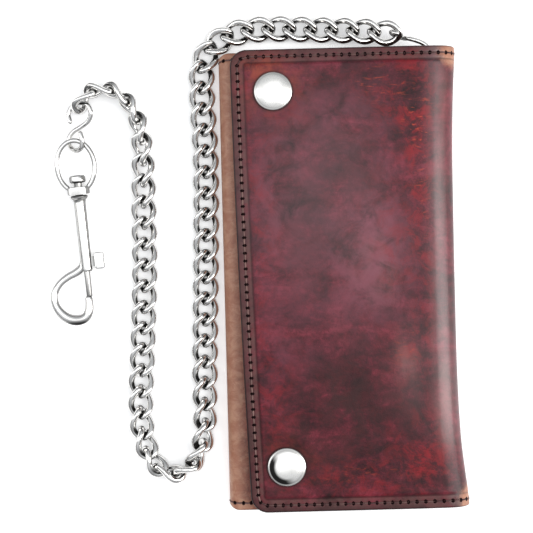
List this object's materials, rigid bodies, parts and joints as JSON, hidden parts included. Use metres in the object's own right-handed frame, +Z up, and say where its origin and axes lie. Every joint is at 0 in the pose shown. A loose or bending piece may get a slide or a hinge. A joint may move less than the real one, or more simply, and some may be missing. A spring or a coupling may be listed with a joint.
{
  "type": "chain wallet",
  "caption": "Long bifold leather wallet lying closed, two snap caps along its free edge, with a curb chain on an S-hook ending in a swivel trigger snap.",
  "frame": {"origin": "middle of the back cover's flat underside, on the table", "axes": "+X from the folded edge towards the spine, +Y along the wallet towards the chain's grommet, +Z up out of the flap"},
  "size_m": [0.1616, 0.1955, 0.0206],
  "materials": {
    "oxblood_leather": "waxed pull-up leather, oxblood with darker mottling, satin to glossy",
    "lining_leather": "undyed tan flesh side, matte",
    "card_leather": "thin smooth leather, satin",
    "waxed_thread": "waxed polyester thread, dark brown",
    "nickel_plate": "bright nickel plate",
    "plain_steel": "dull plated steel",
    "spring_steel": "drawn spring wire"
  },
  "bodies": {
    "wallet": {"cover_back": "oxblood_leather", "bill_divider": "lining_leather", "thread_panel_top": "waxed_thread", "thread_panel_bottom": "waxed_thread", "snap_stud_top": "nickel_plate", "snap_post_top": "plain_steel", "snap_stud_bottom": "nickel_plate", "snap_post_bottom": "plain_steel", "grommet_eyelet": "nickel_plate", "grommet_washer": "nickel_plate"},
    "spine": {"cover_spine": "oxblood_leather"},
    "flap": {"cover_flap": "oxblood_leather", "flap_lining": "lining_leather", "card_pocket_1": "card_leather", "card_pocket_2": "card_leather", "card_pocket_3": "card_leather", "thread_flap": "waxed_thread", "snap_cap_top": "nickel_plate", "snap_socket_top": "nickel_plate", "snap_cap_bottom": "nickel_plate", "snap_socket_bottom": "nickel_plate"},
    "wallet_hook": {"s_hook_wallet": "nickel_plate"},
    "chain_01": {"chain_01": "nickel_plate"},
    "chain_02": {"chain_02": "nickel_plate"},
    "chain_03": {"chain_03": "nickel_plate"},
    "chain_04": {"chain_04": "nickel_plate"},
    "chain_05": {"chain_05": "nickel_plate"},
    "chain_06": {"chain_06": "nickel_plate"},
    "chain_07": {"chain_07": "nickel_plate"},
    "chain_08": {"chain_08": "nickel_plate"},
    "chain_09": {"chain_09": "nickel_plate"},
    "chain_10": {"chain_10": "nickel_plate"},
    "chain_11": {"chain_11": "nickel_plate"},
    "chain_12": {"chain_12": "nickel_plate"},
    "chain_13": {"chain_13": "nickel_plate"},
    "chain_14": {"chain_14": "nickel_plate"},
    "chain_15": {"chain_15": "nickel_plate"},
    "chain_16": {"chain_16": "nickel_plate"},
    "chain_17": {"chain_17": "nickel_plate"},
    "chain_18": {"chain_18": "nickel_plate"},
    "chain_19": {"chain_19": "nickel_plate"},
    "chain_20": {"chain_20": "nickel_plate"},
    "chain_21": {"chain_21": "nickel_plate"},
    "chain_22": {"chain_22": "nickel_plate"},
    "chain_23": {"chain_23": "nickel_plate"},
    "chain_24": {"chain_24": "nickel_plate"},
    "chain_25": {"chain_25": "nickel_plate"},
    "chain_26": {"chain_26": "nickel_plate"},
    "clip_hook": {"s_hook_clip": "nickel_plate"},
    "swivel_eye": {"swivel_eye": "nickel_plate"},
    "clip": {"clip_body": "nickel_plate", "clip_spring": "spring_steel"},
    "plunger": {"clip_plunger": "nickel_plate"}
  },
  "joints": [
    {"name": "cover_1_spine", "type": "hinge", "parent": "wallet", "child": "spine", "pos_m": [0.0428, 0, 0.0034], "axis": [0, 1, 0], "range_deg": [0, 90]},
    {"name": "cover_2_flap", "type": "hinge", "parent": "spine", "child": "flap", "pos_m": [0.0428, 0, 0.0172], "axis": [0, 1, 0], "range_deg": [0, 90]},
    {"name": "clip_1_plunger", "type": "slide", "parent": "clip", "child": "plunger", "axis": [0.0785, -0.9969, 0], "range_m": [-0.008, 0], "stiffness_N_per_m": 300, "springref_m": 0.003, "deforming": ["clip_spring"]},
    {"name": "clip_2_swivel", "type": "hinge", "parent": "swivel_eye", "child": "clip", "pos_m": [-0.1031, 0.0358, 0.0033], "axis": [0.0785, -0.9969, 0], "continuous": true},
    {"name": "eye_swing", "type": "hinge", "parent": "clip_hook", "child": "swivel_eye", "pos_m": [-0.1035, 0.0565, 0.005], "axis": [0, 0, -1], "range_deg": [-3, 12]},
    {"name": "hook_clip_swing", "type": "hinge", "parent": "chain_26", "child": "clip_hook", "pos_m": [-0.102, 0.0715, 0.004], "axis": [0, 0, -1], "range_deg": [0, 10]},
    {"name": "hook_wallet_swing", "type": "hinge", "parent": "wallet", "child": "wallet_hook", "pos_m": [0.0358, 0.0846, 0.0086], "axis": [0, 0, -1], "range_deg": [0, 8]},
    {"name": "link_01_swing", "type": "hinge", "parent": "wallet_hook", "child": "chain_01", "pos_m": [0.0245, 0.0966, 0.004], "axis": [0, 0, -1], "range_deg": [0, 8]},
    {"name": "link_02_swing", "type": "hinge", "parent": "chain_01", "child": "chain_02", "pos_m": [0.00778, 0.09861, 0.004], "axis": [0, 0, -1], "range_deg": [0, 8]},
    {"name": "link_03_swing", "type": "hinge", "parent": "chain_02", "child": "chain_03", "pos_m": [-0.00901, 0.09987, 0.004], "axis": [0, 0, -1], "range_deg": [0, 8]},
    {"name": "link_04_swing", "type": "hinge", "parent": "chain_03", "child": "chain_04", "pos_m": [-0.02583, 0.10062, 0.004], "axis": [0, 0, -1], "range_deg": [0, 8]},
    {"name": "link_05_swing", "type": "hinge", "parent": "chain_04", "child": "chain_05", "pos_m": [-0.04241, 0.09838, 0.004], "axis": [0, 0, -1], "range_deg": [0, 8]},
    {"name": "link_06_swing", "type": "hinge", "parent": "chain_05", "child": "chain_06", "pos_m": [-0.05287, 0.08619, 0.004], "axis": [0, 0, -1], "range_deg": [0, 7]},
    {"name": "link_07_swing", "type": "hinge", "parent": "chain_06", "child": "chain_07", "pos_m": [-0.05289, 0.06937, 0.004], "axis": [0, 0, -1], "range_deg": [0, 7]},
    {"name": "link_08_swing", "type": "hinge", "parent": "chain_07", "child": "chain_08", "pos_m": [-0.05221, 0.05254, 0.004], "axis": [0, 0, -1], "range_deg": [0, 7]},
    {"name": "link_09_swing", "type": "hinge", "parent": "chain_08", "child": "chain_09", "pos_m": [-0.0524, 0.0357, 0.004], "axis": [0, 0, -1], "range_deg": [0, 7]},
    {"name": "link_10_swing", "type": "hinge", "parent": "chain_09", "child": "chain_10", "pos_m": [-0.05285, 0.01887, 0.004], "axis": [0, 0, -1], "range_deg": [0, 4.5]},
    {"name": "link_11_swing", "type": "hinge", "parent": "chain_10", "child": "chain_11", "pos_m": [-0.0534, 0.00204, 0.004], "axis": [0, 0, -1], "range_deg": [0, 4.5]},
    {"name": "link_12_swing", "type": "hinge", "parent": "chain_11", "child": "chain_12", "pos_m": [-0.05403, -0.0148, 0.004], "axis": [0, 0, -1], "range_deg": [0, 4.5]},
    {"name": "link_13_swing", "type": "hinge", "parent": "chain_12", "child": "chain_13", "pos_m": [-0.0546, -0.03163, 0.004], "axis": [0, 0, -1], "range_deg": [0, 4.5]},
    {"name": "link_14_swing", "type": "hinge", "parent": "chain_13", "child": "chain_14", "pos_m": [-0.05504, -0.04844, 0.004], "axis": [0, 0, -1], "range_deg": [0, 3]},
    {"name": "link_15_swing", "type": "hinge", "parent": "chain_14", "child": "chain_15", "pos_m": [-0.05648, -0.06492, 0.004], "axis": [0, 0, 1], "range_deg": [0, 12]},
    {"name": "link_16_swing", "type": "hinge", "parent": "chain_15", "child": "chain_16", "pos_m": [-0.06652, -0.07616, 0.004], "axis": [0, 0, 1], "range_deg": [0, 12]},
    {"name": "link_17_swing", "type": "hinge", "parent": "chain_16", "child": "chain_17", "pos_m": [-0.07804, -0.06729, 0.004], "axis": [0, 0, 1], "range_deg": [0, 12]},
    {"name": "link_18_swing", "type": "hinge", "parent": "chain_17", "child": "chain_18", "pos_m": [-0.08078, -0.05117, 0.004], "axis": [0, 0, 1], "range_deg": [0, 4]},
    {"name": "link_19_swing", "type": "hinge", "parent": "chain_18", "child": "chain_19", "pos_m": [-0.0799, -0.03441, 0.004], "axis": [0, 0, 1], "range_deg": [0, 4]},
    {"name": "link_20_swing", "type": "hinge", "parent": "chain_19", "child": "chain_20", "pos_m": [-0.07885, -0.01761, 0.004], "axis": [0, 0, 1], "range_deg": [0, 4]},
    {"name": "link_21_swing", "type": "hinge", "parent": "chain_20", "child": "chain_21", "pos_m": [-0.07794, -0.00079, 0.004], "axis": [0, 0, 1], "range_deg": [0, 4]},
    {"name": "link_22_swing", "type": "hinge", "parent": "chain_21", "child": "chain_22", "pos_m": [-0.07747, 0.01604, 0.004], "axis": [0, 0, 1], "range_deg": [0, 4]},
    {"name": "link_23_swing", "type": "hinge", "parent": "chain_22", "child": "chain_23", "pos_m": [-0.07735, 0.03288, 0.004], "axis": [0, 0, 1], "range_deg": [0, 4]},
    {"name": "link_24_swing", "type": "hinge", "parent": "chain_23", "child": "chain_24", "pos_m": [-0.07712, 0.04972, 0.004], "axis": [0, 0, 1], "range_deg": [0, 4]},
    {"name": "link_25_swing", "type": "hinge", "parent": "chain_24", "child": "chain_25", "pos_m": [-0.07905, 0.06632, 0.004], "axis": [0, 0, -1], "range_deg": [0, 10]},
    {"name": "link_26_swing", "type": "hinge", "parent": "chain_25", "child": "chain_26", "pos_m": [-0.0894, 0.07818, 0.004], "axis": [0, 0, -1], "range_deg": [0, 10]}
  ],
  "couplings": [
    {"joint": "cover_2_flap", "follows": "cover_1_spine", "ratio": 1}
  ]
}
